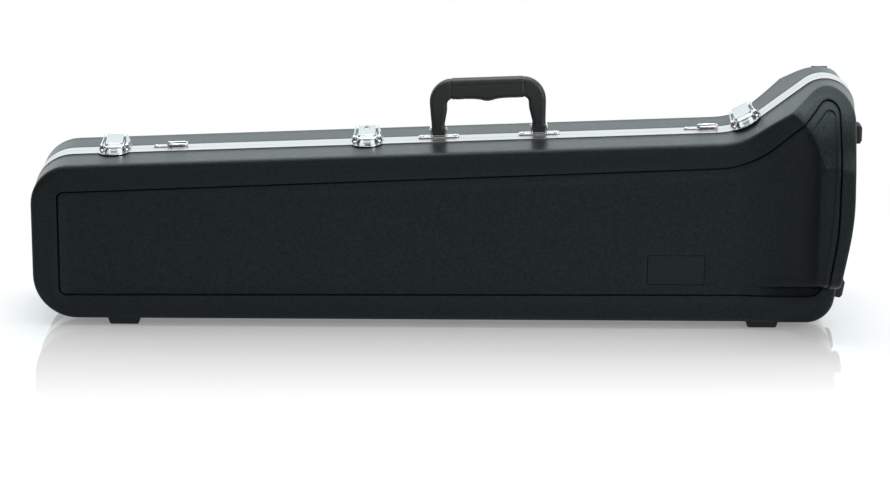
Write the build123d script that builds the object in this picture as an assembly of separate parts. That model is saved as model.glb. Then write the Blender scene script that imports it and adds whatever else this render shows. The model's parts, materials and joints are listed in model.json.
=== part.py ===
from build123d import *
from math import acos, asin, atan2, cos, degrees, radians, sin, sqrt, tan
import os

# A moulded trombone case that stands on its hinge side. X runs along the case with the bell
# end at +X, Y runs from the lid (-Y) to the base (+Y), Z is up and the floor is at 0.

# Outline of the case seen from the front, clockwise from the lower left corner
OUTLINE = [(-453.5, 8.5), (-454.5, 180.3), (326.0, 211.6), (450.0, 305.5), (453.0, 135.7), (430.0, 8.5)]
OUTLINE_RADII = [49.0, 44.0, 75.0, 33.0, 310.0, 31.0]
RECESS = [(-420.8, 38.2), (-421.0, 143.5), (345.2, 176.0), (424.5, 264.7), (422.0, 140.0), (411.0, 41.5)]
RECESS_RADII = [6.0, 6.0, 75.0, 7.0, 250.0, 10.0]
GROOVE = [(-425.5, 34.5), (-426.0, 152.6), (336.6, 185.7), (429.5, 281.5), (429.0, 125.0), (416.0, 38.5)]
GROOVE_RADII = [8.0, 8.0, 90.0, 13.0, 250.0, 16.0]

# Depth of each half from the parting plane
HALF_DEPTH = 67.0
BELL_DEPTH = 122.0
DRUM_OVERHANG = 6.0
DRUM_RADIUS = BELL_DEPTH + DRUM_OVERHANG
DRUM_Z = 154.0
RAMP_START = 322.0
RAMP_LENGTH = 86.0
CREST_RADIUS = 16.0
SKIRT_STEP = 3.0
SKIRT_TOP = 48.0
UNDERSIDE_SLOPE = 17.0
UNDERSIDE_RADIUS = 10.0
END_LEAN = 4.3
EDGE_RADIUS = 4.0
WALL = 3.0
GROOVE_WIDTH = 2.0
GROOVE_DEPTH = 3.0
BEAD_DEPTH = 1.2
RECESS_DEPTH = 2.4
REACH = 140.0

# Aluminium valance round the parting plane
VALANCE_WIDTH = 14.0
VALANCE_PROUD = 0.8
VALANCE_SKIN = 1.5
VALANCE_LEG = 1.8
RIM_WIDTH = 15.2
PARTING_GAP = 0.2
TONGUE_REACH = 4.0
TONGUE_INSET = 7.0
TONGUE_THICK = 1.6

# Hinges under the spine
HINGE_X = (-300.0, 0.0, 300.0)
HINGE_Z = 4.4
KNUCKLE_RADIUS = 3.0
HINGE_PIN_RADIUS = 1.5
RUNNING_GAP = 0.05
HINGE_LENGTH = 50.0
MIDDLE_KNUCKLE = 20.0
LEAF_THICK = 1.2
LEAF_EDGE = 13.0
LEAF_START = 3.4

# Latches, handle and strap loops stand on the top edge
LATCH_X = {"left": -366.5, "middle": -86.0}
KNEE_LATCH_SLOPE = 28.0
LATCH_HALF_WIDTH = 17.5
LEVER_HALF_WIDTH = 9.5
LEVER_PIVOT = (-1.0, 4.5)
LEVER_PIVOT_RADIUS = 1.2
HOOK_PIVOT = (8.0, 4.0)
HOOK_WIRE_RADIUS = 0.9
HOOK_ARM_X = 10.7
HOOK_BAR = (-12.0, 5.3)
SHEET = 1.2
LOCK_RADIUS = 3.2
HANDLE_X = 49.2
HANDLE_PIN_HEIGHT = 8.5
HANDLE_PIN_RADIUS = 2.0
HANDLE_LEG_X = 55.8
HANDLE_LEG_WIDTH = 14.4
HANDLE_SHOULDER = (45.2, 64.5)
HANDLE_DEPTH = 13.0
HANDLE_TOP = 66.0
HANDLE_BAR = 24.0
FITTING_Y = 7.25
STRAP_X = {"left": -306.0, "right": 283.0}
RING_WIRE = 1.2
RING_LENGTH = 22.0
RING_WIDTH = 11.0
RIVET_RADIUS = 1.6

# Feet, badge place and inner tray
FOOT_HEIGHT = OUTLINE[0][1]
SPINE_FEET_X = (-354.0, 352.7)
SPINE_FOOT = (37.0, 36.0)
SPINE_FOOT_TAPER = 3.0
SPINE_FOOT_Y = 42.0
END_FEET = {"upper": (449.0, 219.5, 0.0), "lower": (435.2, 44.6, 10.3)}
END_FOOT = (15.5, 20.0, 20.0)
END_FOOT_Y = 45.0
BACK_FEET_X = -395.0
BACK_FEET_Z = (58.0, 128.0)
BACK_FOOT = (24.0, 24.0)
BADGE_CENTRE = (255.5, 67.0)
BADGE_SIZE = (62.0, 32.0, 1.0)
BADGE_BORDER = 1.0
BELL_RADIUS = 108.0
LINER_GAP = 0.2
LINER_EDGE_INSET = 9.2
LID_LINER_FACE = 8.0
BASE_LINER_FACE = 2.0
SLIDE_PITCH = 89.0
SLIDE_TROUGH = 30.0
BUTTON_X = {"left": -250.0, "right": 20.0}
SLIDE_MID_Z = 95.0
BUTTON_BLADE = (14.0, 112.0, 3.0)
BUTTON_SCREW_RADIUS = 2.0


# Outlines
def polygon_face(corners, radii):
    return make_face(FilletPolyline(*corners, radius=radii, close=True))


def shrunk_face(corners, radii, inset):
    """The outline moved inwards by inset, with its corner radii kept concentric."""
    count = len(corners)
    points = [Vector(*corner) for corner in corners]
    lines = []
    for i in range(count):
        along = (points[(i + 1) % count] - points[i]).normalized()
        inward = Vector(along.Y, -along.X)
        lines.append((points[i] + inward * inset, along))
    moved = []
    moved_radii = []
    for i in range(count):
        (p, a), (q, b) = lines[i - 1], lines[i]
        turn = a.X * b.Y - a.Y * b.X
        gap = q - p
        hit = p + a * ((gap.X * b.Y - gap.Y * b.X) / turn)
        moved.append((hit.X, hit.Y))
        moved_radii.append(max(radii[i] - inset, 2.0) if turn < 0 else radii[i] + inset)
    return polygon_face(moved, moved_radii)


def outline_face(inset):
    return shrunk_face(OUTLINE, OUTLINE_RADII, inset)


def slab(face, near, far):
    """A front-view face made solid from Y = -near to Y = -far."""
    return extrude(Pos(0, -near, 0) * (Plane.XZ * face), amount=far - near)


def leaning_slab(face, near, far, lean):
    direction = Vector(-tan(radians(lean)), -1, 0).normalized()
    length = (far - near) / cos(radians(lean))
    return extrude(Pos(0, -near, 0) * (Plane.XZ * face), amount=length, dir=direction)


# Shell form of one half, on the -Y side
def ramp_arc():
    """Radius and sweep in degrees of the arc that leads from the thin part to the bell end."""
    rise = BELL_DEPTH - HALF_DEPTH
    radius = (RAMP_LENGTH**2 + rise**2) / (2 * rise)
    return radius, degrees(asin(RAMP_LENGTH / radius))


def plan_profile(inset):
    """The half seen from above: flat along the slide, then a ramp out to the bell end."""
    depth = HALF_DEPTH - inset
    bell_depth = BELL_DEPTH - inset
    radius, _ = ramp_arc()
    arc = radius + inset
    centre_y = -HALF_DEPTH - radius
    sweep = acos((-bell_depth - centre_y) / arc)

    def on_arc(angle):
        return (RAMP_START + arc * sin(angle), centre_y + arc * cos(angle))

    left, right = OUTLINE[1][0] - 40, OUTLINE[4][0] + 40
    crest = on_arc(sweep)
    foot = (RAMP_START, -depth)
    line = Polyline(crest, (right, -bell_depth), (right, 0), (left, 0), (left, -depth), foot)
    face = make_face(line + ThreePointArc(foot, on_arc(sweep / 2), crest))
    return fillet(face.vertices().sort_by_distance(Vector(*crest))[0], CREST_RADIUS - inset)


def section_profile(inset):
    """The half seen from the end: skirt, sloping underside, flat side and round top."""
    radius = DRUM_RADIUS - inset
    side = BELL_DEPTH - inset
    skirt = HALF_DEPTH + SKIRT_STEP - inset
    slope = radians(UNDERSIDE_SLOPE)
    low = SKIRT_TOP + inset / cos(slope) - inset * tan(slope)
    lip = (-side, low + (side - skirt) * tan(slope))
    start = acos(side / radius)
    middle = (start + radians(90)) / 2
    side_top = (-side, DRUM_Z + radius * sin(start))
    crown = (0, DRUM_Z + radius)
    line = Polyline(crown, (0, -5), (-skirt, -5), (-skirt, low), lip, side_top)
    bend = (-radius * cos(middle), DRUM_Z + radius * sin(middle))
    face = make_face(line + ThreePointArc(side_top, bend, crown))
    return fillet(face.vertices().sort_by_distance(Vector(*lip))[0], max(UNDERSIDE_RADIUS - inset, 4.0))


def front_edges(solid):
    """Edges between the outline's sides and the front surfaces."""
    steepness = {}
    for face in solid.faces():
        tilt = abs(face.normal_at(face.center()).Y)
        for edge in face.edges():
            mid = edge @ 0.5
            place = (round(mid.X, 2), round(mid.Y, 2), round(mid.Z, 2))
            steepness.setdefault(place, []).append((tilt, edge))
    chosen = []
    for (x, y, z), sides in steepness.items():
        if len(sides) == 2 and y < -RIM_WIDTH - 1:
            low, high = sorted(side[0] for side in sides)
            if low < 0.15 and high > 0.25:
                chosen.append(sides[0][1])
    return chosen


def half_form(inset):
    face = outline_face(inset)
    sides = slab(face, 0, REACH)
    near_end = slab(face, 0, RIM_WIDTH)
    leaning = near_end + leaning_slab(face, RIM_WIDTH, REACH, END_LEAN)
    plan = extrude(plan_profile(inset), amount=400)
    section = Pos(-500, 0, 0) * extrude(Plane.YZ * section_profile(inset), amount=1000)
    body = (sides & leaning & plan & section).solid()
    return fillet(front_edges(body), max(EDGE_RADIUS - inset, 1.5))


def below(depth):
    """Everything further than depth from the parting plane, on the -Y side."""
    return Pos(0, -depth - 200, 150) * Box(1200, 400, 600)


def mirrored(shape):
    return mirror(shape, about=Plane.XZ)


def moulded_shell():
    recess = slab(polygon_face(RECESS, RECESS_RADII) & polygon_face(GROOVE, GROOVE_RADII), 0, REACH)
    bead = slab(polygon_face(GROOVE, GROOVE_RADII), 0, REACH)
    groove = bead - slab(shrunk_face(GROOVE, GROOVE_RADII, GROOVE_WIDTH), 0, REACH)
    outer = half_form(0)
    outer = outer - (bead - half_form(BEAD_DEPTH))
    outer = outer - (groove - half_form(GROOVE_DEPTH))
    outer = outer - (recess - half_form(RECESS_DEPTH))
    thick = slab(shrunk_face(GROOVE, GROOVE_RADII, -WALL), 0, REACH)
    cavity = half_form(WALL) - (thick - half_form(WALL + RECESS_DEPTH))
    rim_inside = slab(outline_face(VALANCE_SKIN + WALL), 0, RIM_WIDTH + 2.4)
    cavity = (cavity & below(RIM_WIDTH + 2.3)) + rim_inside
    rim_step = slab(outline_face(-5), 0, RIM_WIDTH) - slab(outline_face(VALANCE_SKIN), 0, RIM_WIDTH)
    shell = outer - cavity - rim_step
    return shell & below(PARTING_GAP + 1.0)


# Valances
def ring(outer_inset, inner_inset, near, far):
    return slab(outline_face(outer_inset), near, far) - slab(outline_face(inner_inset), near, far)


def valance():
    """Aluminium channel that grips the rim of one shell, on the -Y side."""
    skin = ring(-VALANCE_PROUD, VALANCE_SKIN, PARTING_GAP, VALANCE_WIDTH)
    leg_outer = VALANCE_SKIN + WALL + 0.2
    web = ring(VALANCE_SKIN, leg_outer + VALANCE_LEG, PARTING_GAP, PARTING_GAP + 1.0)
    leg = ring(leg_outer, leg_outer + VALANCE_LEG, PARTING_GAP + 1.0, 9.0)
    return skin + web + leg


def tongue():
    """Lip on the base valance that reaches into the lid and keeps dust out."""
    inner = TONGUE_INSET + TONGUE_THICK
    web = mirrored(ring(VALANCE_SKIN + WALL, inner, PARTING_GAP, PARTING_GAP + 1.0))
    lip = ring(TONGUE_INSET, inner, 0, TONGUE_REACH)
    return web + lip + mirrored(ring(TONGUE_INSET, inner, 0, PARTING_GAP + 1.0))


# Liners with their pockets
def hairpin(bow_x, open_x, mid_z, pitch, width):
    """Front view of a trough for two parallel tubes joined by a bow at the left."""
    length = open_x - bow_x
    middle = Pos((bow_x + open_x) / 2, mid_z)
    bow = Pos(bow_x, mid_z)
    outer = bow * Circle((pitch + width) / 2) + middle * Rectangle(length, pitch + width)
    inner = bow * Circle((pitch - width) / 2) + middle * Rectangle(length, pitch - width)
    return outer - inner


def bell_pocket():
    """A turned space for the bell and its flare, about an axis along X."""
    padding = 16.0
    radius = ramp_arc()[0] + padding
    axis_offset = HALF_DEPTH + radius - padding
    sweep = degrees(asin(RAMP_LENGTH / radius))

    def on_flare(angle):
        return (RAMP_START + radius * sin(radians(angle)), axis_offset - radius * cos(radians(angle)))

    rim_x = 431.0
    throat_x = 225.0
    rim = Polyline(on_flare(sweep), (rim_x - 7.0, BELL_RADIUS), (rim_x, BELL_RADIUS), (rim_x, 0))
    throat = Polyline((rim_x, 0), (throat_x, 0), (throat_x, 30.0), on_flare(0))
    flare = ThreePointArc(on_flare(0), on_flare(sweep / 2), on_flare(sweep))
    return Pos(0, 0, DRUM_Z) * revolve(Plane.XZ * make_face(rim + throat + flare), axis=Axis.X)


def liner_blank():
    """A padded tray that fills one half, before its pockets are cut."""
    core = half_form(WALL + RECESS_DEPTH + LINER_GAP)
    edge = slab(outline_face(LINER_EDGE_INSET), 0, 22.0)
    return (core & below(20.0)) + edge


def front_liner(blank):
    near, far = LID_LINER_FACE, LID_LINER_FACE + 32.0
    slide = slab(hairpin(-370.0, 215.0, SLIDE_MID_Z, SLIDE_PITCH, SLIDE_TROUGH), near, far)
    brace = slab(Pos(120.0, SLIDE_MID_Z) * Rectangle(36.0, SLIDE_PITCH - 20.0), near, far)
    return (blank & below(near)) - bell_pocket() - slide - brace - button_screws(BUTTON_SCREW_RADIUS)


def accessory_tray():
    return Pos(-322.0, 92.0) * RectangleRounded(196.0, 116.0, 10.0)


def back_liner(blank):
    near = BASE_LINER_FACE
    trough = slab(hairpin(-110.0, 235.0, 101.0, 100.0, 46.0), near, near + 40.0)
    tray = slab(accessory_tray(), near, near + 52.0)
    return mirrored((blank & below(near)) - bell_pocket() - trough - tray)


def button_screws(radius):
    """Shanks of the two turn button screws, in the lid liner."""
    deep = LID_LINER_FACE + 14.0
    holes = [slab(Pos(x, SLIDE_MID_Z) * Circle(radius), 4.0, deep) for x in BUTTON_X.values()]
    return holes[0] + holes[1]


def screws_of_buttons():
    heads = [slab(Pos(x, SLIDE_MID_Z) * Circle(4.0), 3.2, 4.8) for x in BUTTON_X.values()]
    return button_screws(BUTTON_SCREW_RADIUS) + heads[0] + heads[1]


def turn_button(x):
    """A blade across both slide tubes that swings clear of them."""
    wide, long, thick = BUTTON_BLADE
    blade = RectangleRounded(wide, long, 6.9) - Circle(BUTTON_SCREW_RADIUS + RUNNING_GAP)
    return slab(Pos(x, SLIDE_MID_Z) * blade, LID_LINER_FACE - 0.1 - thick, LID_LINER_FACE - 0.1)


# Hinges
def along_x(radius, length, x, y, z):
    return Pos(x, y, z) * Rot(0, 90, 0) * Cylinder(radius, length)


def hinge_leaf(x, sections, notch):
    """One leaf under the spine on the +Y side, with its knuckles round the pin."""
    top = OUTLINE[0][1] - VALANCE_PROUD
    mid_y = (LEAF_START + LEAF_EDGE) / 2
    leaf = Pos(x, mid_y, top - LEAF_THICK / 2) * Box(HINGE_LENGTH, LEAF_EDGE - LEAF_START, LEAF_THICK)
    for offset, length in sections:
        web = Box(length, LEAF_START + 0.2, LEAF_THICK)
        web = Pos(x + offset, LEAF_START / 2 + 0.1, top - LEAF_THICK / 2) * web
        knuckle = along_x(KNUCKLE_RADIUS, length, x + offset, 0, HINGE_Z)
        leaf = leaf + (web + knuckle)
    leaf = leaf - along_x(HINGE_PIN_RADIUS + notch, HINGE_LENGTH + 2, x, 0, HINGE_Z)
    return leaf - leaf_rivets(x, RIVET_RADIUS)


def leaf_rivets(x, radius):
    top = OUTLINE[0][1] - VALANCE_PROUD
    shank = Pos(0, 9.0, top + 0.2) * Cylinder(radius, 2 * LEAF_THICK + 1.6)
    return Pos(x - 17.0, 0, 0) * shank + Pos(x + 17.0, 0, 0) * shank


def back_leaf(x):
    outer = (HINGE_LENGTH - MIDDLE_KNUCKLE) / 2 - 0.3
    offset = (HINGE_LENGTH - outer) / 2
    return hinge_leaf(x, [(-offset, outer), (offset, outer)], 0.0)


def front_leaf(x):
    return mirrored(hinge_leaf(x, [(0, MIDDLE_KNUCKLE - 0.3)], RUNNING_GAP))


def hinge_pin(x):
    return along_x(HINGE_PIN_RADIUS, HINGE_LENGTH, x, 0, HINGE_Z)


# Seats on the top edge: a frame with X along the edge, Y to the back and Z outwards
def edge_slope():
    (x0, z0), (x1, z1) = OUTLINE[1], OUTLINE[2]
    return degrees(atan2(z1 - z0, x1 - x0))


def ramp_slope():
    (x0, z0), (x1, z1) = OUTLINE[2], OUTLINE[3]
    return degrees(atan2(z1 - z0, x1 - x0))


def seat_plane(x, z, slope):
    return Plane(origin=(x, 0, z), x_dir=(cos(radians(slope)), 0, sin(radians(slope))),
                 z_dir=(-sin(radians(slope)), 0, cos(radians(slope))))


def straight_seat(x):
    slope = edge_slope()
    z = OUTLINE[1][1] + (x - OUTLINE[1][0]) * tan(radians(slope))
    return seat_plane(x, z + VALANCE_PROUD / cos(radians(slope)), slope)


def knee_seat():
    """The right latch bridges the hollow bend where the edge starts to climb."""
    low, high = edge_slope(), ramp_slope()
    middle, half = radians((low + high) / 2), radians((high - low) / 2)
    reach = OUTLINE_RADII[2] / cos(half)
    centre_x = OUTLINE[2][0] - reach * sin(middle)
    centre_z = OUTLINE[2][1] + reach * cos(middle)
    drop = sqrt((OUTLINE_RADII[2] - VALANCE_PROUD)**2 - LATCH_HALF_WIDTH**2)
    slope = radians(KNEE_LATCH_SLOPE)
    return seat_plane(centre_x + drop * sin(slope), centre_z - drop * cos(slope), KNEE_LATCH_SLOPE)


def latch_seat(name):
    return knee_seat() if name == "right" else straight_seat(LATCH_X[name])


def rivet_heads(places, height):
    """Domed heads and shanks at (x, y) places of a seat, on a plate of the given height."""
    upright = (Align.CENTER, Align.CENTER, Align.MIN)
    head = Cylinder(2.2, 0.5, align=upright) + Pos(0, 0, 0.5) * Cone(2.2, 1.2, 0.6, align=upright)
    return joined([Pos(x, y, height) * head for x, y in places]) + rivet_shanks(places, height)


def rivet_shanks(places, height):
    bottom = -2.0
    shank = Pos(0, 0, (bottom + height) / 2) * Cylinder(RIVET_RADIUS, height - bottom)
    return joined([Pos(x, y, 0) * shank for x, y in places])


def joined(shapes):
    total = shapes[0]
    for shape in shapes[1:]:
        total = total + shape
    return total


def side_profile(points, width, centre=0.0):
    """A (y, z) outline of a seat made solid along its X."""
    face = make_face(Polyline(*points, close=True))
    return Pos(centre - width / 2, 0, 0) * extrude(Plane.YZ * face, amount=width)


def both_sides(shape):
    return shape + mirror(shape, about=Plane.YZ)


# Latches, in the frame of their seat
BASE_RIVETS = [(-13.2, 6.0), (13.2, 6.0)]
KEEPER_RIVETS = [(-13.5, -7.0), (13.5, -7.0)]


def latch_base():
    """Eight-sided plate with two slanting cheeks that carry the lever."""
    half, near, far, cut = LATCH_HALF_WIDTH, 0.6, 24.6, 6.0
    right_side = [(half, near), (half, far - cut), (half - cut, far)]
    left_side = [(-x, y) for x, y in reversed(right_side)]
    plate = extrude(make_face(Polyline(*right_side, *left_side, close=True)), amount=SHEET)
    wedge = [(half, 0.4), (half - 4.6, 12.6), (half - 6.1, 12.6), (half - 1.6, 0.4)]
    cheek = Plane.XZ * make_face(Polyline(*wedge, close=True))
    cheek = extrude(cheek, amount=30.0, both=True)
    foot_line = [(-3.2, 1.7), (0.6, 1.7), (0.6, 0.0), (19.5, 0.0)]
    top_line = [(21.5, 9.5), (19.5, 12.6), (6.0, 9.2), (-1.6, 7.4), (-3.2, 6.0)]
    cheek = cheek & side_profile(foot_line + top_line, 60.0)
    bore = along_x(LEVER_PIVOT_RADIUS, 60.0, 0, *LEVER_PIVOT)
    return plate + both_sides(cheek) - bore - rivet_shanks(BASE_RIVETS, SHEET)


def pivot_stubs():
    inner, outer = LEVER_HALF_WIDTH - 1.4, 15.4
    return both_sides(along_x(LEVER_PIVOT_RADIUS, outer - inner, (inner + outer) / 2, *LEVER_PIVOT))


LEVER_BENDS = [(-4.0, 8.2), (8.0, 10.2), (21.0, 13.6), (29.5, 19.8)]


def lever_sheet(first, last, width):
    """Stretch of the lever's bent sheet between two of its bends."""
    (y0, z0), (y1, z1) = LEVER_BENDS[first], LEVER_BENDS[last]
    return side_profile([(y0, z0), (y1, z1), (y1, z1 - SHEET), (y0, z0 - SHEET)], width)


def latch_lever(with_lock):
    width = 2 * LEVER_HALF_WIDTH
    tab = Pos(0, LEVER_BENDS[3][0] - 15.0, 0) * extrude(RectangleRounded(16.6, 30.0, 4.0), amount=40.0)
    tab = tab & lever_sheet(2, 3, width)
    sheet = lever_sheet(0, 1, width) + lever_sheet(1, 2, width) + tab
    under_sheet = [(-3.4, 7.4), (8.0, 9.3), (19.5, 12.4)]
    round_pivots = [(17.0, 8.5), (10.5, 2.2), (-1.0, 2.1), (-3.4, 4.0)]
    flange = side_profile(under_sheet + round_pivots, SHEET, LEVER_HALF_WIDTH - SHEET / 2)
    lever = sheet + both_sides(flange)
    for pivot, radius in ((LEVER_PIVOT, LEVER_PIVOT_RADIUS), (HOOK_PIVOT, HOOK_WIRE_RADIUS)):
        lever = lever - along_x(radius + RUNNING_GAP, 40.0, 0, *pivot)
    if with_lock:
        lever = lever - lock_frame() * Cylinder(LOCK_RADIUS + RUNNING_GAP, 20.0)
    return lever


def lock_frame():
    """Centre of the lock on the lever's rear facet, square to it."""
    (y0, z0), (y1, z1) = LEVER_BENDS[1], LEVER_BENDS[2]
    return Pos(0, (y0 + y1) / 2, (z0 + z1) / 2) * Rot(degrees(atan2(z1 - z0, y1 - y0)), 0, 0)


def lock_cylinder():
    plug = Pos(0, 0, -2.4) * Cylinder(LOCK_RADIUS, 5.6)
    slot = Pos(0, 0, 0.2) * Box(4.4, 1.8, 1.8)
    return lock_frame() * (plug - slot)


def hook_path():
    return [HOOK_PIVOT, (4.4, 7.7), (-6.0, 7.7), HOOK_BAR]


def latch_hook():
    """Bent wire bail: in through the lever, over its pivots and across in front of the catch."""
    inner = LEVER_HALF_WIDTH - 1.8
    arm = [(HOOK_ARM_X, y, z) for y, z in hook_path()]
    start = (inner, HOOK_PIVOT[0], HOOK_PIVOT[1])
    points = [start] + arm
    full = points + [(-x, y, z) for x, y, z in reversed(points)]
    bends = [1.4, 1.4, 1.4, 5.6]
    route = FilletPolyline(*full, radius=bends + bends[::-1])
    section = Plane(origin=route @ 0, z_dir=route % 0) * Circle(HOOK_WIRE_RADIUS)
    return sweep(section, path=route)


def keeper():
    """Plate with a curved front and a ramped catch under the hook's bar."""
    half, near, shoulder, front = 17.0, -1.2, -14.0, -28.6
    line = Polyline((half, shoulder), (half, near), (-half, near), (-half, shoulder))
    nose = ThreePointArc((-half, shoulder), (0, front), (half, shoulder))
    plate = extrude(make_face(line + nose), amount=SHEET)
    catch = side_profile([(-16.5, SHEET - 0.2), (-10.6, 3.9), (-8.6, 3.9), (-7.8, SHEET - 0.2)], 7.0)
    return plate + catch - rivet_shanks(KEEPER_RIVETS, SHEET)


# Carrying handle, in the frame of its seat
BRACKET_RIVETS = [(-18.5, FITTING_Y), (18.5, FITTING_Y)]
BRACKET_THICK = 1.6


def handle_bracket():
    plate = Pos(0, FITTING_Y, BRACKET_THICK / 2) * Box(45.0, 12.0, BRACKET_THICK)
    plate = fillet(plate.edges().filter_by(Axis.Z), 3.0)
    ear_face = Pos(FITTING_Y, HANDLE_PIN_HEIGHT) * Circle(4.6)
    stem = HANDLE_PIN_HEIGHT - 0.8
    ear_face = ear_face + Pos(FITTING_Y, 0.8 + stem / 2) * Rectangle(9.2, stem)
    ear = Pos(HANDLE_LEG_WIDTH / 2 + 0.4, 0, 0) * extrude(Plane.YZ * ear_face, amount=1.4)
    pin_hole = along_x(HANDLE_PIN_RADIUS, 40.0, 0, FITTING_Y, HANDLE_PIN_HEIGHT)
    return plate + both_sides(ear) - pin_hole - rivet_shanks(BRACKET_RIVETS, BRACKET_THICK)


def handle_pin():
    return along_x(HANDLE_PIN_RADIUS, HANDLE_LEG_WIDTH + 5.6, 0, FITTING_Y, HANDLE_PIN_HEIGHT)


def handle_grip():
    """Arched grip: two tapered legs round their pins and a deep bar with a finger bump."""
    foot_inner = HANDLE_LEG_X - HANDLE_LEG_WIDTH / 2
    foot_outer = HANDLE_LEG_X + HANDLE_LEG_WIDTH / 2
    inner, outer = HANDLE_SHOULDER
    low = HANDLE_PIN_HEIGHT
    knee = (low + HANDLE_TOP) / 2
    under = HANDLE_TOP - HANDLE_BAR + 1.5
    left_outside = [(-foot_outer, low), (-outer, knee), (-outer, HANDLE_TOP)]
    left_inside = [(-inner, under), (-inner, knee - 6.0), (-foot_inner, low + 7.0), (-foot_inner, low)]
    outer_corners = left_outside + [(-x, z) for x, z in reversed(left_outside)]
    inner_corners = [(-x, z) for x, z in reversed(left_inside)] + left_inside
    outside = FilletPolyline(*outer_corners, radius=[60.0, 26.0, 26.0, 60.0])
    inside = FilletPolyline(*inner_corners, radius=[15.0, 30.0, 6.0, 6.0, 30.0, 15.0])
    face = make_face(outside + Line(outside @ 1, inside @ 0) + inside + Line(inside @ 1, outside @ 0))
    face = face + Pos(0, under + 7.5) * Ellipse(12.0, 10.5)
    for x in (-31.0, 31.0):
        face = face + Pos(x, under + 7.5) * Ellipse(9.0, 10.0)
    grip = Pos(0, HANDLE_DEPTH / 2, 0) * extrude(Plane.XZ * face, amount=HANDLE_DEPTH)
    long_edges = grip.edges().filter_by(lambda edge: edge.bounding_box().size.Y < 0.01)
    grip = fillet(long_edges.filter_by(lambda edge: (edge @ 0.5).Z > low + 1), 4.5)
    for side in (-1, 1):
        foot = along_x(HANDLE_DEPTH / 2, HANDLE_LEG_WIDTH, side * HANDLE_LEG_X, 0, low)
        grip = grip + foot
        grip = grip - along_x(HANDLE_PIN_RADIUS + RUNNING_GAP, 40.0, side * HANDLE_LEG_X, 0, low)
    return Pos(0, FITTING_Y, 0) * grip


# Strap loops, in the frame of their seat
STRAP_RIVETS = [(-14.2, FITTING_Y), (14.2, FITTING_Y)]
RING_HEIGHT = 2.7


def strap_plate():
    """Strip with a raised bridge over the bar of the ring."""
    strip = Pos(0, FITTING_Y, SHEET / 2) * Box(35.0, 9.0, SHEET)
    strip = fillet(strip.edges().filter_by(Axis.Z), 3.0)
    outside = RING_WIRE + 1.3
    bridge = Circle(outside) + Pos(0, -RING_HEIGHT / 2) * Rectangle(2 * outside, RING_HEIGHT)
    arch = Pos(0, FITTING_Y + 2.5, RING_HEIGHT) * extrude(Plane.XZ * bridge, amount=5.0)
    channel = Pos(0, FITTING_Y, RING_HEIGHT) * Rot(90, 0, 0) * Cylinder(RING_WIRE + RUNNING_GAP, 20.0)
    return strip + arch - channel - rivet_shanks(STRAP_RIVETS, SHEET)


def strap_ring():
    """Oblong wire ring lying flat, with one end through the bridge."""
    path = RectangleRounded(RING_LENGTH - 2 * RING_WIRE, RING_WIDTH, 3.5).wire()
    path = Pos((RING_LENGTH - 2 * RING_WIRE) / 2, FITTING_Y, RING_HEIGHT) * path
    section = Plane(origin=path @ 0, z_dir=path % 0) * Circle(RING_WIRE)
    return sweep(section, path=path)


# Feet and badge place
def spine_foot(x):
    """Bevelled rubber block on the +Y side with a screw hole."""
    half, deep = SPINE_FOOT[0] / 2, SPINE_FOOT[1]
    narrow = half - SPINE_FOOT_TAPER
    side = Polyline((-half, FOOT_HEIGHT), (half, FOOT_HEIGHT), (narrow, 0), (-narrow, 0), close=True)
    block = Pos(x, SPINE_FOOT_Y + deep / 2, 0) * extrude(Plane.XZ * make_face(side), amount=deep)
    block = chamfer(block.faces().sort_by(Axis.Z)[0].edges(), 1.2)
    return block - Pos(x, SPINE_FOOT_Y, 1.5) * Cylinder(4.2, 4.0) - foot_screw_shank(x)


def foot_screw_shank(x):
    return Pos(x, SPINE_FOOT_Y, FOOT_HEIGHT - 1.2) * Cylinder(2.0, 8.0)


def foot_screw(x):
    return Pos(x, SPINE_FOOT_Y, 2.6) * Cylinder(3.8, 1.8) + foot_screw_shank(x)


def end_foot(name, shell_form):
    """Bumper on the bell end that follows the shell's face, on the -Y side."""
    x, z, lean = END_FEET[name]
    block = Box(*END_FOOT)
    block = chamfer(block.faces().sort_by(Axis.X)[-1].edges(), 2.5)
    block = Pos(x, -END_FOOT_Y, z) * Rot(0, lean, 0) * block
    return (block - shell_form).solids().sort_by(Axis.X)[-1]


def drum_bumper(shell_form):
    """Bumper high on the back of the bell drum."""
    angle = 50.0
    block = Pos(422.0, 0, DRUM_Z) * Rot(angle, 0, 0) * Pos(0, DRUM_RADIUS + 3.0, 0) * Box(18.0, 17.0, 14.0)
    return (block - mirrored(shell_form)).solids().sort_by(Axis.Y)[-1]


def back_foot(z):
    """Foot on the flat back, level with the drum bumper when the case lies down."""
    height = 10.0
    block = Box(*BACK_FOOT, height)
    block = chamfer(block.faces().sort_by(Axis.Z)[-1].edges(), 1.8)
    return Pos(BACK_FEET_X, HALF_DEPTH - RECESS_DEPTH + height / 2, z) * Rot(-90, 0, 0) * block


def badge_recess():
    wide, high, _ = BADGE_SIZE
    face = Pos(*BADGE_CENTRE) * RectangleRounded(wide + 2 * BADGE_BORDER, high + 2 * BADGE_BORDER, 2.0)
    return slab(face, HALF_DEPTH - RECESS_DEPTH - 0.8, REACH)


def badge_plate():
    wide, high, thick = BADGE_SIZE
    bottom = HALF_DEPTH - RECESS_DEPTH - 0.8
    plate = slab(Pos(*BADGE_CENTRE) * RectangleRounded(wide, high, 1.5), bottom, bottom + thick)
    return chamfer(plate.faces().sort_by(Axis.Y)[0].edges(), 0.4)


# Assembly
def seated(shape, seat):
    return seat.location * shape


def on_all(shape, seats):
    return joined([seated(shape, seat) for seat in seats.values()])


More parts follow.
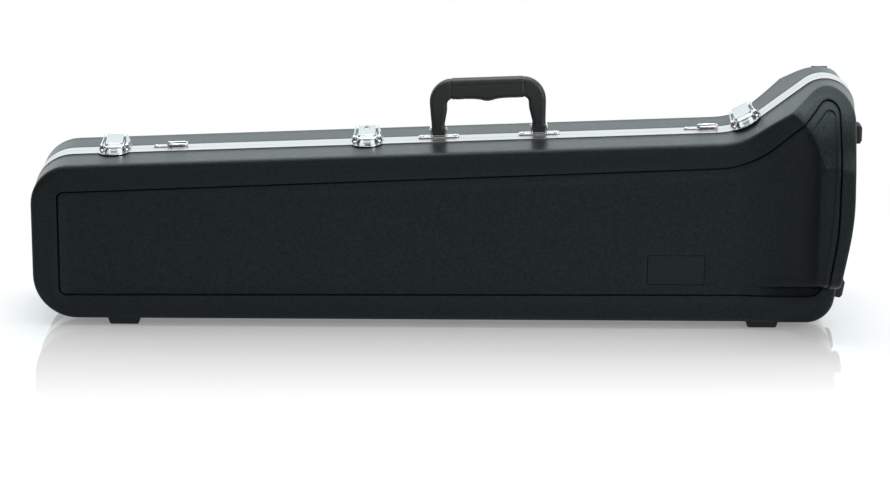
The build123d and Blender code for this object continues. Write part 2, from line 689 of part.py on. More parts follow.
def build():
    parts = {}
    shell = moulded_shell()
    form = half_form(0)
    blank = liner_blank()
    seats = {name: latch_seat(name) for name in ("left", "middle", "right")}
    keeper_shanks = on_all(rivet_shanks(KEEPER_RIVETS, SHEET), seats)
    base_shanks = on_all(rivet_shanks(BASE_RIVETS, SHEET), seats)
    hinge_rivets = joined([leaf_rivets(x, RIVET_RADIUS) for x in HINGE_X])
    front_screws = joined([mirrored(foot_screw_shank(x)) for x in SPINE_FEET_X])
    slope = edge_slope()
    handle_seat = straight_seat(HANDLE_X)
    bracket_seats = {}
    for name, side in (("left", -1), ("right", 1)):
        bracket_seats[name] = straight_seat(HANDLE_X + side * HANDLE_LEG_X * cos(radians(slope)))
    strap_seats = {name: straight_seat(x) for name, x in STRAP_X.items()}
    bracket_shanks = on_all(rivet_shanks(BRACKET_RIVETS, BRACKET_THICK), bracket_seats)
    strap_shanks = on_all(rivet_shanks(STRAP_RIVETS, SHEET), strap_seats)

    parts["front_shell"] = shell - badge_recess() - front_screws
    parts["back_shell"] = mirrored(shell - front_screws)
    parts["front_valance"] = valance() - keeper_shanks - mirrored(hinge_rivets)
    back = mirrored(valance()) + tongue()
    parts["back_valance"] = back - base_shanks - bracket_shanks - strap_shanks - hinge_rivets
    parts["lid_liner"] = front_liner(blank)
    parts["base_liner"] = back_liner(blank)
    parts["slide_button_screws"] = screws_of_buttons()
    for name, x in BUTTON_X.items():
        parts[f"slide_button_{name}"] = turn_button(x)

    parts["hinge_leaves_base"] = joined([back_leaf(x) for x in HINGE_X])
    parts["hinge_leaves_lid"] = joined([front_leaf(x) for x in HINGE_X])
    parts["hinge_pins"] = joined([hinge_pin(x) for x in HINGE_X])
    parts["hinge_rivets_base"] = hinge_rivets
    parts["hinge_rivets_lid"] = mirrored(hinge_rivets)

    for name, seat in seats.items():
        parts[f"latch_base_{name}"] = seated(latch_base(), seat)
        parts[f"latch_lever_{name}"] = seated(latch_lever(name == "middle"), seat)
        parts[f"latch_hook_{name}"] = seated(latch_hook(), seat)
        parts[f"latch_keeper_{name}"] = seated(keeper(), seat)
    parts["latch_pivots"] = on_all(pivot_stubs(), seats)
    parts["latch_base_rivets"] = on_all(rivet_heads(BASE_RIVETS, SHEET), seats)
    parts["keeper_rivets"] = on_all(rivet_heads(KEEPER_RIVETS, SHEET), seats)
    parts["lock_cylinder"] = seated(lock_cylinder(), seats["middle"])

    for name, seat in bracket_seats.items():
        parts[f"handle_bracket_{name}"] = seated(handle_bracket(), seat)
    parts["handle_pins"] = on_all(handle_pin(), bracket_seats)
    parts["bracket_rivets"] = on_all(rivet_heads(BRACKET_RIVETS, BRACKET_THICK), bracket_seats)
    parts["handle_grip"] = seated(handle_grip(), handle_seat)

    for name, seat in strap_seats.items():
        parts[f"strap_plate_{name}"] = seated(strap_plate(), seat)
        parts[f"strap_ring_{name}"] = seated(strap_ring(), seat)
    parts["strap_rivets"] = on_all(rivet_heads(STRAP_RIVETS, SHEET), strap_seats)

    parts["spine_feet_base"] = joined([spine_foot(x) for x in SPINE_FEET_X])
    parts["spine_feet_lid"] = mirrored(parts["spine_feet_base"])
    parts["foot_screws_base"] = joined([foot_screw(x) for x in SPINE_FEET_X])
    parts["foot_screws_lid"] = mirrored(parts["foot_screws_base"])
    end_feet = joined([end_foot(name, form) for name in END_FEET])
    parts["end_feet_lid"] = end_feet
    parts["end_feet_base"] = mirrored(end_feet)
    parts["back_feet"] = joined([back_foot(z) for z in BACK_FEET_Z])
    parts["drum_bumper"] = drum_bumper(form)
    parts["badge_plate"] = badge_plate()
    return parts


os.makedirs("parts", exist_ok=True)
for node, shape in build().items():
    export_step(shape, f"parts/{node}.step")
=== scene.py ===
import json
import math

import bmesh
import bpy
from mathutils import Matrix, Vector


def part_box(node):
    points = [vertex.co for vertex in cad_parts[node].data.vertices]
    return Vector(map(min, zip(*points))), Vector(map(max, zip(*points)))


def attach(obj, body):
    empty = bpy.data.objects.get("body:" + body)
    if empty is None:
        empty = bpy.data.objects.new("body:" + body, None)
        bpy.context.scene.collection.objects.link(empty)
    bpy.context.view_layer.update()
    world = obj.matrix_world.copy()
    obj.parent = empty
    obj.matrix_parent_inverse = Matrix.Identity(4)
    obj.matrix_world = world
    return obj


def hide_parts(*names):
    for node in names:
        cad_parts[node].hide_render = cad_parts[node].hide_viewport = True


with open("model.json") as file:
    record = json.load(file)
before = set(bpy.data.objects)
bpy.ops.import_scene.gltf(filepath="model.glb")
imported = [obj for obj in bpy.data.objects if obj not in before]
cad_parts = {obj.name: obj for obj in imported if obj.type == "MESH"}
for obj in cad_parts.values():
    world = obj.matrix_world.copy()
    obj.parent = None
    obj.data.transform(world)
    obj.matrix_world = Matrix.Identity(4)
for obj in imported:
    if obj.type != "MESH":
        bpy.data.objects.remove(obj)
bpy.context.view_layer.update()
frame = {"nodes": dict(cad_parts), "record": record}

MM = 0.001
RECORD = frame["record"]
BODIES = RECORD["behaviour"]["bodies"]
SLOT_OF_NODE = {part["node"]: part["material_slot"] for part in RECORD["subparts"]}
BODY_OF_NODE = {node: body for body, nodes in BODIES.items() for node in nodes}

# Camera: the photograph's viewing angle, in the 890 pixel wide frame
IMAGE_WIDTH = 890
SENSOR_WIDTH = 36.0
FOCAL_PIXELS = 3465.0
CAMERA_DISTANCE = 3.88
CAMERA_ELEVATION = math.radians(15.6)
CAMERA_ROLL = math.radians(0.33)
AIM = Vector((0.001, 0.0, 0.0788))

# Colours of the patchy finishes, the darker patch first
SHELL_BLACKS = (0.0042, 0.0055, 0.0057), (0.0092, 0.0119, 0.0122)
VALANCE_SILVERS = (0.52, 0.492, 0.488), (0.56, 0.53, 0.526)
# Plating: the painted shade of its seams first, then its own bright colour
PLATING_SHADED_GREYS = (0.05, 0.052, 0.055), (0.60, 0.595, 0.59)
GRIP_BLACKS = (0.0052, 0.0072, 0.0074), (0.0092, 0.0124, 0.0127)
PLUSH_GREYS = (0.018, 0.018, 0.021), (0.055, 0.055, 0.06)

# Colours that the shiny plastics give to what they reflect
SHELL_REFLECTION = (0.5, 0.63, 0.63)
PLATE_REFLECTION = (0.6, 0.75, 0.8)

# Rounding of the edges of the CAD nodes, by finish
EDGE_ROUNDING = {
    "shell": 0.45 * MM,
    "valance": 0.25 * MM,
    "chrome": 0.35 * MM,
    "steel": 0.15 * MM,
    "rubber": 0.4 * MM,
    "badge": 0.2 * MM,
    "button": 0.5 * MM,
}
ROUNDING_SEGMENTS = 2
SHARP_ANGLE = math.radians(30.0)
FLAT_ANGLE = math.radians(0.4)
WELD_DISTANCE = 0.002 * MM

# Cross recesses of the screws
RECESS_WIDTH = 0.9 * MM
RECESS_LENGTH = 4.6 * MM
RECESS_DEPTH = 1.6 * MM
SCREW_ROUNDING = 0.12 * MM

# Padded liners
FOAM_VOXEL = 3.2 * MM
FOAM_SMOOTHING = 0.5
FOAM_SMOOTHING_ROUNDS = 5
FOAM_SHRINK = 0.4 * MM

# Handle grip, measured from its pivot: along the bar, and up from the case
GRIP_VOXEL = 0.9 * MM
GRIP_BAR_LOW = 20.0 * MM
GRIP_SEAM = 40.0 * MM
GRIP_SEAM_INSIDE = 0.2 * MM
GRIP_SEAM_OUTSIDE = 1.0 * MM
GRIP_SEAM_DEPTH = 0.55 * MM
GRIP_WRAP = 0.35 * MM
GRIP_EDGE_SEAM = 7.0 * MM
GRIP_EDGE_SEAM_HALF_WIDTH = 0.7 * MM
GRIP_EDGE_SEAM_DEPTH = 0.25 * MM
GRIP_SIDE_FACING = 0.6
GRIP_UNDERSIDE = 34.6 * MM
GRIP_BLEND = 5.0 * MM
GRIP_SWELL = 2.8 * MM
GRIP_SWELL_REACH = 9.5 * MM
GRIP_SMOOTHING = 0.4

# Floor: its light, its reflection and where it turns plain white
FLOOR_REACH = 12.0
FLOOR_GREY = (0.36, 0.36, 0.36)
FLOOR_GLOW = 0.33
MIRROR_ROUGHNESS = 0.04
MIRROR_FADE_Y = -0.375, -0.15
MIRROR_SHARE = 0.32
PLAIN_WHITE_X = 0.45, 0.53
PLAIN_WHITE_Y = 0.25, 0.90

# Surroundings: brightest towards the sky behind the case
BRIGHT_SIDE = (0.0, 0.8, 0.6)
SKY_TURN = -0.2, 0.5
SKY_LEVELS = 0.1, 1.4
WHITE = (1.0, 1.0, 1.0, 1.0)
REFLECTED_SKY = (0.86, 0.97, 1.0, 1.0)

# A Mix node's two inputs and its output, by the kind of thing that it mixes
MIX_SOCKETS = {"FLOAT": (2, 3, 0), "VECTOR": (4, 5, 1), "RGBA": (6, 7, 2)}


# Node helpers
def feed(tree, value, socket):
    """Gives a socket another node's output or a plain value."""
    if isinstance(value, bpy.types.NodeSocket):
        tree.links.new(value, socket)
    else:
        socket.default_value = value


def calculated(tree, operation, *values):
    """The output of a Math node."""
    node = tree.nodes.new("ShaderNodeMath")
    node.operation = operation
    for value, socket in zip(values, node.inputs):
        feed(tree, value, socket)
    return node.outputs["Value"]


def mixed(tree, kind, factor, first, second):
    """Numbers, vectors or colours mixed by a factor."""
    node = tree.nodes.new("ShaderNodeMix")
    node.data_type = kind
    first_place, second_place, output_place = MIX_SOCKETS[kind]
    feed(tree, factor, node.inputs[0])
    feed(tree, first, node.inputs[first_place])
    feed(tree, second, node.inputs[second_place])
    return node.outputs[output_place]


def mixed_shaders(tree, factor, first, second):
    node = tree.nodes.new("ShaderNodeMixShader")
    feed(tree, factor, node.inputs["Fac"])
    tree.links.new(first, node.inputs[1])
    tree.links.new(second, node.inputs[2])
    return node.outputs["Shader"]


def spread(tree, value, start, end, low=0.0, high=1.0, kind="LINEAR"):
    """A number moved from the range start to end into the range low to high."""
    node = tree.nodes.new("ShaderNodeMapRange")
    node.interpolation_type = kind
    node.inputs["From Min"].default_value = start
    node.inputs["From Max"].default_value = end
    node.inputs["To Min"].default_value = low
    node.inputs["To Max"].default_value = high
    tree.links.new(value, node.inputs["Value"])
    return node.outputs["Result"]


class Finish:
    """A material being made: its nodes, its shader and short ways to join them."""

    def __init__(self, name, colour, roughness, metallic=0.0):
        self.material = bpy.data.materials.new(name)
        self.material.use_nodes = True
        self.tree = self.material.node_tree
        self.shader = self.tree.nodes["Principled BSDF"]
        self.shader.inputs["Base Color"].default_value = (*colour, 1.0)
        self.shader.inputs["Roughness"].default_value = roughness
        self.shader.inputs["Metallic"].default_value = metallic
        self.place = self.add("ShaderNodeTexCoord").outputs["Object"]
        self.corners = None

    def add(self, kind, **settings):
        """A new node; each setting is a property of the node or the value of an input."""
        node = self.tree.nodes.new(kind)
        for key, value in settings.items():
            if hasattr(node, key):
                setattr(node, key, value)
            else:
                node.inputs[key.title()].default_value = value
        return node

    def join(self, output, target):
        self.tree.links.new(output, target)

    def texture(self, kind, vector=None, **settings):
        node = self.add(kind, **settings)
        self.join(self.place if vector is None else vector, node.inputs["Vector"])
        return node

    def stretched(self, x, y, z):
        """Object coordinates scaled along each axis, for streaks and grooves."""
        mapping = self.add("ShaderNodeMapping")
        mapping.inputs["Scale"].default_value = (x, y, z)
        self.join(self.place, mapping.inputs["Vector"])
        return mapping.outputs["Vector"]

    def sum_heights(self, first, second, share):
        """The first height and a share of the second."""
        return calculated(self.tree, "MULTIPLY_ADD", second, share, first)

    def reflects(self, ior, tint=(1.0, 1.0, 1.0)):
        self.shader.inputs["IOR"].default_value = ior
        self.shader.inputs["Specular Tint"].default_value = (*tint, 1.0)

    def rounded_normal(self, radius, samples):
        """A normal that runs round each corner in a curve of that radius."""
        node = self.add("ShaderNodeBevel", samples=samples)
        node.inputs["Radius"].default_value = radius
        return node.outputs["Normal"]

    def round_corners(self, radius):
        """Corners that catch the light as pressed or moulded ones do; the bump reads them."""
        self.corners = self.rounded_normal(radius, 6)

    def round_corners_widely(self, radius, wide_radius, wide_share):
        """The same, with a share of a much wider curve, as on a thick moulding."""
        self.round_corners(radius)
        wide = self.rounded_normal(wide_radius, 8)
        unit = self.add("ShaderNodeVectorMath", operation="NORMALIZE")
        self.join(mixed(self.tree, "VECTOR", wide_share, self.corners, wide), unit.inputs[0])
        self.corners = unit.outputs["Vector"]

    def bump(self, height, depth, strength):
        node = self.add("ShaderNodeBump")
        if self.corners is not None:
            self.join(self.corners, node.inputs["Normal"])
        node.inputs["Strength"].default_value = strength
        node.inputs["Distance"].default_value = depth
        self.join(height, node.inputs["Height"])
        self.join(node.outputs["Normal"], self.shader.inputs["Normal"])

    def patches(self, factor, colours):
        """Base colour between two colours."""
        dark, light = colours
        colour = mixed(self.tree, "RGBA", factor, (*dark, 1.0), (*light, 1.0))
        self.join(colour, self.shader.inputs["Base Color"])

    def roughness_between(self, factor, low, high):
        self.join(spread(self.tree, factor, 0.0, 1.0, low, high), self.shader.inputs["Roughness"])


# Materials
def moulded_plastic():
    """Black moulded shell with a fine pebble grain and a slight green cast."""
    finish = Finish("moulded_shell_plastic", (0.0105, 0.0135, 0.0138), 0.4)
    finish.reflects(1.3, SHELL_REFLECTION)
    pebble = finish.texture("ShaderNodeTexVoronoi", scale=950.0, feature="SMOOTH_F1")
    cloud = finish.texture("ShaderNodeTexNoise", scale=9.0, detail=4.0)
    fine = finish.texture("ShaderNodeTexNoise", scale=2200.0, detail=2.0)
    coarse = finish.texture("ShaderNodeTexNoise", scale=330.0, detail=3.0)
    grain = finish.sum_heights(pebble.outputs["Distance"], fine.outputs["Fac"], 0.35)
    finish.round_corners_widely(2.4 * MM, 16.0 * MM, 0.6)
    finish.bump(finish.sum_heights(grain, coarse.outputs["Fac"], 2.2), 0.16 * MM, 0.7)
    finish.roughness_between(cloud.outputs["Fac"], 0.26, 0.34)
    finish.patches(spread(finish.tree, coarse.outputs["Fac"], 0.32, 0.68), SHELL_BLACKS)
    return finish.material


def anodised_aluminium():
    """Satin silver extrusion with die lines along its length."""
    finish = Finish("valance_aluminium", (0.60, 0.60, 0.60), 0.3, 1.0)
    lines = finish.texture("ShaderNodeTexNoise", finish.stretched(3.0, 1400.0, 3.0), scale=1.0, detail=3.0)
    cloud = finish.texture("ShaderNodeTexNoise", scale=14.0, detail=3.0)
    finish.bump(lines.outputs["Fac"], 0.03 * MM, 0.35)
    finish.roughness_between(lines.outputs["Fac"], 0.24, 0.38)
    finish.patches(cloud.outputs["Fac"], VALANCE_SILVERS)
    return finish.material


def bright_plating():
    """Nickel-bright plated steel with painted shade in its seams, and faint waves from the stamping."""
    finish = Finish("latch_plating", (0.6, 0.6, 0.6), 0.06, 1.0)
    # Painted shade: the base colour goes dark where ambient occlusion finds seams and tight corners
    seam_shade = finish.add("ShaderNodeAmbientOcclusion", samples=8)
    seam_shade.inputs["Distance"].default_value = 3.5 * MM
    finish.patches(spread(finish.tree, seam_shade.outputs["AO"], 0.35, 0.85), PLATING_SHADED_GREYS)
    wave = finish.texture("ShaderNodeTexNoise", scale=160.0, detail=2.0)
    finish.round_corners(0.6 * MM)
    finish.bump(wave.outputs["Fac"], 0.2 * MM, 0.2)
    finish.roughness_between(wave.outputs["Fac"], 0.03, 0.1)
    return finish.material


def plain_steel():
    """Rolled steel of the hinges and screws."""
    finish = Finish("hinge_steel", (0.62, 0.62, 0.63), 0.32, 1.0)
    rolled = finish.texture("ShaderNodeTexNoise", finish.stretched(40.0, 900.0, 900.0), scale=1.0, detail=3.0)
    finish.bump(rolled.outputs["Fac"], 0.03 * MM, 0.3)
    finish.roughness_between(rolled.outputs["Fac"], 0.26, 0.42)
    return finish.material


def grip_leatherette():
    """Soft black moulding with a creased leather grain."""
    finish = Finish("grip_leatherette", (0.012, 0.0135, 0.0138), 0.42)
    finish.reflects(1.4)
    creases = finish.texture("ShaderNodeTexVoronoi", scale=620.0, feature="DISTANCE_TO_EDGE")
    folds = finish.texture("ShaderNodeTexNoise", scale=260.0, detail=4.0)
    leather = finish.sum_heights(creases.outputs["Distance"], folds.outputs["Fac"], 0.5)
    finish.bump(leather, 0.25 * MM, 0.5)
    finish.roughness_between(folds.outputs["Fac"], 0.36, 0.52)
    finish.patches(folds.outputs["Fac"], GRIP_BLACKS)
    return finish.material


def foot_rubber():
    """Dull black rubber."""
    finish = Finish("foot_rubber", (0.0046, 0.0052, 0.0052), 0.6)
    finish.reflects(1.36)
    grit = finish.texture("ShaderNodeTexNoise", scale=1500.0, detail=3.0)
    finish.bump(grit.outputs["Fac"], 0.08 * MM, 0.5)
    finish.roughness_between(grit.outputs["Fac"], 0.52, 0.7)
    return finish.material


def badge_plastic():
    """The bare plate: smoother and a shade greyer than the shell round it."""
    finish = Finish("bare_plate_plastic", (0.0048, 0.0068, 0.0076), 0.34)
    finish.reflects(1.32, PLATE_REFLECTION)
    grain = finish.texture("ShaderNodeTexNoise", scale=1300.0, detail=2.0)
    finish.bump(grain.outputs["Fac"], 0.05 * MM, 0.4)
    finish.roughness_between(grain.outputs["Fac"], 0.3, 0.4)
    return finish.material


def button_nylon():
    """Plain black nylon of the turn buttons."""
    finish = Finish("button_nylon", (0.02, 0.02, 0.021), 0.45)
    grain = finish.texture("ShaderNodeTexNoise", scale=700.0, detail=3.0)
    finish.bump(grain.outputs["Fac"], 0.05 * MM, 0.4)
    return finish.material


def plush():
    """Short-pile lining: tiny tufts and lighter patches where the pile lies another way."""
    finish = Finish("lining_plush", (0.03, 0.03, 0.034), 0.95)
    pile = finish.texture("ShaderNodeTexNoise", scale=1600.0, detail=3.0)
    nap = finish.texture("ShaderNodeTexNoise", scale=24.0, detail=5.0)
    finish.bump(finish.sum_heights(pile.outputs["Fac"], nap.outputs["Fac"], 0.6), 0.8 * MM, 0.8)
    finish.patches(nap.outputs["Fac"], PLUSH_GREYS)
    finish.shader.inputs["Sheen Weight"].default_value = 0.5
    finish.shader.inputs["Sheen Roughness"].default_value = 0.4
    return finish.material


MATERIALS = {
    "shell": moulded_plastic(),
    "valance": anodised_aluminium(),
    "chrome": bright_plating(),
    "steel": plain_steel(),
    "handle": grip_leatherette(),
    "rubber": foot_rubber(),
    "badge": badge_plastic(),
    "button": button_nylon(),
    "liner": plush(),
}


# Pieces that finish the CAD nodes
def object_from(skin, name):
    """A scene object from a bmesh, which is freed."""
    mesh = bpy.data.meshes.new(name)
    skin.to_mesh(mesh)
    skin.free()
    made = bpy.data.objects.new(name, mesh)
    bpy.context.scene.collection.objects.link(made)
    return made


def merged_copy(node):
    """The node's triangles joined into one skin in a bmesh."""
    skin = bmesh.new()
    skin.from_mesh(frame["nodes"][node].data)
    bmesh.ops.remove_doubles(skin, verts=skin.verts, dist=WELD_DISTANCE)
    return skin


def piece_from(skin, node, name):
    """A smooth-shaded piece with the node's finish and body, whose sharp edges stay crisp."""
    slot = SLOT_OF_NODE[node]
    body = BODY_OF_NODE[node]
    for edge in skin.edges:
        edge.smooth = len(edge.link_faces) == 2 and edge.calc_face_angle(0.0) < SHARP_ANGLE
    for face in skin.faces:
        face.smooth = True
    piece = object_from(skin, name)
    piece.data.materials.append(MATERIALS[slot])
    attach(piece, body)
    return piece


def softened(piece, edge_width):
    """Rounds the sharp edges and keeps the flats flat."""
    bevel = piece.modifiers.new("edge_rounding", "BEVEL")
    bevel.width = edge_width
    bevel.segments = ROUNDING_SEGMENTS
    bevel.limit_method = "ANGLE"
    bevel.angle_limit = SHARP_ANGLE
    bevel.harden_normals = True
    normals = piece.modifiers.new("flat_faces", "WEIGHTED_NORMAL")
    normals.keep_sharp = True


def finished(node, edge_width):
    """A copy of a CAD node with rounded edges and smooth shading that stands for it."""
    skin = merged_copy(node)
    bmesh.ops.dissolve_limit(skin, angle_limit=FLAT_ANGLE, verts=skin.verts, edges=skin.edges)
    piece = piece_from(skin, node, f"{node}_finish")
    softened(piece, edge_width)
    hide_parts(node)


def hard_pieces():
    for node in frame["nodes"]:
        slot = SLOT_OF_NODE[node]
        if slot in EDGE_ROUNDING and "screws" not in node:
            finished(node, EDGE_ROUNDING[slot])


def baked(piece):
    """Works the piece's modifiers into its mesh."""
    shaped = bpy.data.meshes.new_from_object(piece.evaluated_get(bpy.context.evaluated_depsgraph_get()))
    piece.modifiers.clear()
    piece.data = shaped


def voxel_skin(piece, voxel_size, smoothing_rounds=0):
    """An even skin over the piece, in a bmesh, with its edges smoothed off."""
    grid = piece.modifiers.new("even_grid", "REMESH")
    grid.mode = "VOXEL"
    grid.voxel_size = voxel_size
    if smoothing_rounds:
        soft = piece.modifiers.new("soft_edges", "SMOOTH")
        soft.factor = FOAM_SMOOTHING
        soft.iterations = smoothing_rounds
    baked(piece)
    skin = bmesh.new()
    skin.from_mesh(piece.data)
    skin.normal_update()
    return skin


def put_back(skin, piece):
    """The bmesh, smooth-shaded, as the piece's mesh."""
    for face in skin.faces:
        face.smooth = True
    skin.to_mesh(piece.data)
    skin.free()


def recess_arms(name, heads, across, along):
    """One arm of the cross for every screw head, as a cutting tool."""
    size = [RECESS_WIDTH] * 3
    size[across] = RECESS_LENGTH
    size[along] = RECESS_DEPTH
    skin = bmesh.new()
    for centre in heads:
        block = bmesh.ops.create_cube(skin, size=1.0)["verts"]
        bmesh.ops.scale(skin, vec=size, verts=block)
        bmesh.ops.translate(skin, vec=centre, verts=block)
    return object_from(skin, name)


def cross_recessed(node, heads, along):
    """Screws with a cross recess in each head; along is the axis number of the screws."""
    piece = piece_from(merged_copy(node), node, f"{node}_finish")
    tools = []
    for across in range(3):
        if across != along:
            tools.append(recess_arms(f"recess_arm_{across}", heads, across, along))
    for tool in tools:
        cut = piece.modifiers.new(tool.name, "BOOLEAN")
        cut.object = tool
        cut.solver = "EXACT"
    baked(piece)
    for tool in tools:
        bpy.data.objects.remove(tool)
    softened(piece, SCREW_ROUNDING)
    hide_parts(node)


def end_screws(node, along, face):
    """Two screws in a row along X; face is where their heads end on the screws' own axis."""
    low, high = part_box(node)
    across = 3 - along
    middle = (low[across] + high[across]) / 2
    radius = (high[across] - low[across]) / 2
    heads = []
    for x in (low[0] + radius, high[0] - radius):
        centre = Vector((x, 0.0, 0.0))
        centre[across] = middle
        centre[along] = face
        heads.append(centre)
    cross_recessed(node, heads, along)


def screws():
    """The heads of the feet's screws look down, those of the buttons' screws into the case."""
    for node in ("foot_screws_base", "foot_screws_lid"):
        end_screws(node, 2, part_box(node)[0][2])
    end_screws("slide_button_screws", 1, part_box("slide_button_screws")[1][1])


def padded_liner(node):
    """Foam covered with plush: every edge of the tray and its troughs is soft and round."""
    piece = piece_from(merged_copy(node), node, f"{node}_plush")
    skin = voxel_skin(piece, FOAM_VOXEL, FOAM_SMOOTHING_ROUNDS)
    for vertex in skin.verts:
        vertex.co -= vertex.normal * FOAM_SHRINK
    put_back(skin, piece)
    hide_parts(node)


def wrap_bar(skin, pivot, along, up):
    """Lifts the wrap off the bar, sinks its seams and shapes its underside."""
    spots = {}
    for vertex in skin.verts:
        offset = vertex.co - pivot
        spots[vertex] = (offset.dot(along), offset.dot(up))
    edge_seam = max(height for _, height in spots.values()) - GRIP_EDGE_SEAM
    lowest = {}
    for x, height in spots.values():
        if abs(x) < GRIP_SEAM and height > GRIP_BAR_LOW:
            lowest[round(x / MM)] = min(height, lowest.get(round(x / MM), height))
    hold = GRIP_UNDERSIDE + GRIP_BLEND
    for vertex, (x, height) in spots.items():
        if height < GRIP_BAR_LOW or abs(x) > GRIP_SEAM + GRIP_SEAM_OUTSIDE:
            continue
        if abs(x) > GRIP_SEAM - GRIP_SEAM_INSIDE:
            vertex.co -= vertex.normal * GRIP_SEAM_DEPTH
            continue
        near_edge_seam = abs(height - edge_seam) < GRIP_EDGE_SEAM_HALF_WIDTH
        on_side = abs(vertex.normal.y) > GRIP_SIDE_FACING
        vertex.co += vertex.normal * (-GRIP_EDGE_SEAM_DEPTH if near_edge_seam and on_side else GRIP_WRAP)
        bottom = lowest.get(round(x / MM), height)
        if height < hold and bottom < hold:
            wanted = GRIP_UNDERSIDE - GRIP_SWELL * math.exp(-(x / GRIP_SWELL_REACH) ** 2)
            moved = hold - (hold - height) * (hold - wanted) / (hold - bottom)
            vertex.co += up * (moved - height)


def wrapped_grip():
    """The handle: a wrapped bar with a finger swell, a seam at each end and one under its top edge."""
    hinge = next(joint for joint in RECORD["behaviour"]["joints"] if joint["name"] == "handle_hinge")
    along = Vector(hinge["axis"]).normalized()
    up = Vector((0, -1, 0)).cross(along)
    piece = piece_from(merged_copy("handle_grip"), "handle_grip", "handle_grip_finish")
    skin = voxel_skin(piece, GRIP_VOXEL)
    wrap_bar(skin, Vector(hinge["pos_m"]), along, up)
    every_way = {"use_axis_x": True, "use_axis_y": True, "use_axis_z": True}
    bmesh.ops.smooth_vert(skin, verts=skin.verts, factor=GRIP_SMOOTHING, **every_way)
    put_back(skin, piece)
    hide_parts("handle_grip")


hard_pieces()
padded_liner("lid_liner")
padded_liner("base_liner")
wrapped_grip()
screws()


# Stage, light and camera
def seen_rays(tree, path):
    """1 for camera rays and for what metal and clear pieces show, else 0."""
    direct = calculated(tree, "MAXIMUM", path.outputs["Is Camera Ray"], path.outputs["Is Glossy Ray"])
    return calculated(tree, "MAXIMUM", direct, path.outputs["Is Transmission Ray"])


def glowing(tree, strength):
    """White light of its own."""
    node = tree.nodes.new("ShaderNodeEmission")
    tree.links.new(strength, node.inputs["Strength"])
    return node.outputs["Emission"]


def lit_floor(tree, seen):
    """Grey under the lamps, with a glow that brings it to near white."""
    diffuse = tree.nodes.new("ShaderNodeBsdfDiffuse")
    diffuse.inputs["Color"].default_value = (*FLOOR_GREY, 1.0)
    lit = tree.nodes.new("ShaderNodeAddShader")
    tree.links.new(diffuse.outputs["BSDF"], lit.inputs[0])
    tree.links.new(glowing(tree, calculated(tree, "MULTIPLY", seen, FLOOR_GLOW)), lit.inputs[1])
    return lit.outputs["Shader"]


def floor():
    """White floor that keeps a soft shadow and a reflection fading towards the camera."""
    grid = bmesh.new()
    bmesh.ops.create_grid(grid, x_segments=1, y_segments=1, size=FLOOR_REACH)
    plane = object_from(grid, "floor")
    material = bpy.data.materials.new("white_floor")
    material.use_nodes = True
    tree = material.node_tree
    tree.nodes.clear()
    seen = seen_rays(tree, tree.nodes.new("ShaderNodeLightPath"))
    place = tree.nodes.new("ShaderNodeTexCoord")
    spot = tree.nodes.new("ShaderNodeSeparateXYZ")
    tree.links.new(place.outputs["Object"], spot.inputs["Vector"])
    mirror = tree.nodes.new("ShaderNodeBsdfGlossy")
    mirror.inputs["Roughness"].default_value = MIRROR_ROUGHNESS
    fade = spread(tree, spot.outputs["Y"], *MIRROR_FADE_Y, 0.0, MIRROR_SHARE)
    polished = mixed_shaders(tree, fade, lit_floor(tree, seen), mirror.outputs["BSDF"])
    far_x = calculated(tree, "ABSOLUTE", spot.outputs["X"])
    far_y = calculated(tree, "ABSOLUTE", spot.outputs["Y"])
    beyond_x = spread(tree, far_x, *PLAIN_WHITE_X, kind="SMOOTHSTEP")
    beyond_y = spread(tree, far_y, *PLAIN_WHITE_Y, kind="SMOOTHSTEP")
    plain = calculated(tree, "MAXIMUM", beyond_x, beyond_y)
    output = tree.nodes.new("ShaderNodeOutputMaterial")
    tree.links.new(mixed_shaders(tree, plain, polished, glowing(tree, seen)), output.inputs["Surface"])
    plane.data.materials.append(material)


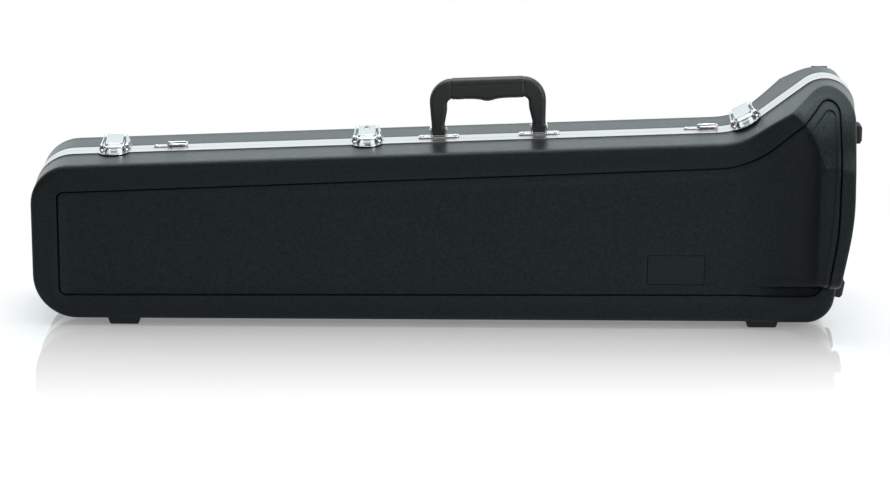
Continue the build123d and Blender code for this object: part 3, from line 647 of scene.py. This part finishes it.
def surroundings():
    """White to the camera; brighter behind and above the case than in front of it."""
    world = bpy.data.worlds.new("studio")
    bpy.context.scene.world = world
    world.use_nodes = True
    tree = world.node_tree
    tree.nodes.clear()
    direction = tree.nodes.new("ShaderNodeTexCoord")
    aimed = tree.nodes.new("ShaderNodeVectorMath")
    aimed.operation = "DOT_PRODUCT"
    aimed.inputs[1].default_value = BRIGHT_SIDE
    tree.links.new(direction.outputs["Generated"], aimed.inputs[0])
    sky = spread(tree, aimed.outputs["Value"], *SKY_TURN, *SKY_LEVELS, kind="SMOOTHSTEP")
    path = tree.nodes.new("ShaderNodeLightPath")
    background = tree.nodes.new("ShaderNodeBackground")
    level = mixed(tree, "FLOAT", path.outputs["Is Camera Ray"], sky, 1.0)
    tint = mixed(tree, "RGBA", path.outputs["Is Glossy Ray"], WHITE, REFLECTED_SKY)
    tree.links.new(level, background.inputs["Strength"])
    tree.links.new(tint, background.inputs["Color"])
    output = tree.nodes.new("ShaderNodeOutputWorld")
    tree.links.new(background.outputs["Background"], output.inputs["Surface"])


def softbox(name, centre, target, size, power):
    """A rectangular lamp that looks at its target."""
    lamp = bpy.data.lights.new(name, "AREA")
    lamp.shape = "RECTANGLE"
    lamp.size, lamp.size_y = size
    lamp.energy = power
    light = bpy.data.objects.new(name, lamp)
    light.location = centre
    light.rotation_euler = (Vector(target) - Vector(centre)).to_track_quat("-Z", "Y").to_euler()
    bpy.context.scene.collection.objects.link(light)


def camera():
    """The photograph's camera: in front of the lid, a little above it."""
    back = Vector((0.0, -math.cos(CAMERA_ELEVATION), math.sin(CAMERA_ELEVATION)))
    data = bpy.data.cameras.new("camera")
    data.sensor_width = SENSOR_WIDTH
    data.lens = FOCAL_PIXELS * SENSOR_WIDTH / IMAGE_WIDTH
    eye = bpy.data.objects.new("camera", data)
    place = Matrix.Translation(AIM + back * CAMERA_DISTANCE)
    turn = (-back).to_track_quat("-Z", "Y").to_matrix().to_4x4()
    eye.matrix_world = place @ turn @ Matrix.Rotation(CAMERA_ROLL, 4, "Z")
    bpy.context.scene.collection.objects.link(eye)
    bpy.context.scene.camera = eye


floor()
surroundings()
softbox("overhead", centre=(0.1, 0.2, 2.2), target=(0.0, 0.0, 0.1), size=(2.4, 1.2), power=60.0)
softbox("front_top", centre=(0.0, -2.6, 1.6), target=(0.0, 0.0, 0.1), size=(3.2, 1.4), power=17.0)
softbox("front_right", centre=(2.4, -2.0, 1.0), target=(0.2, 0.0, 0.1), size=(1.4, 1.4), power=70.0)
camera()
bpy.context.scene.view_settings.view_transform = "Standard"
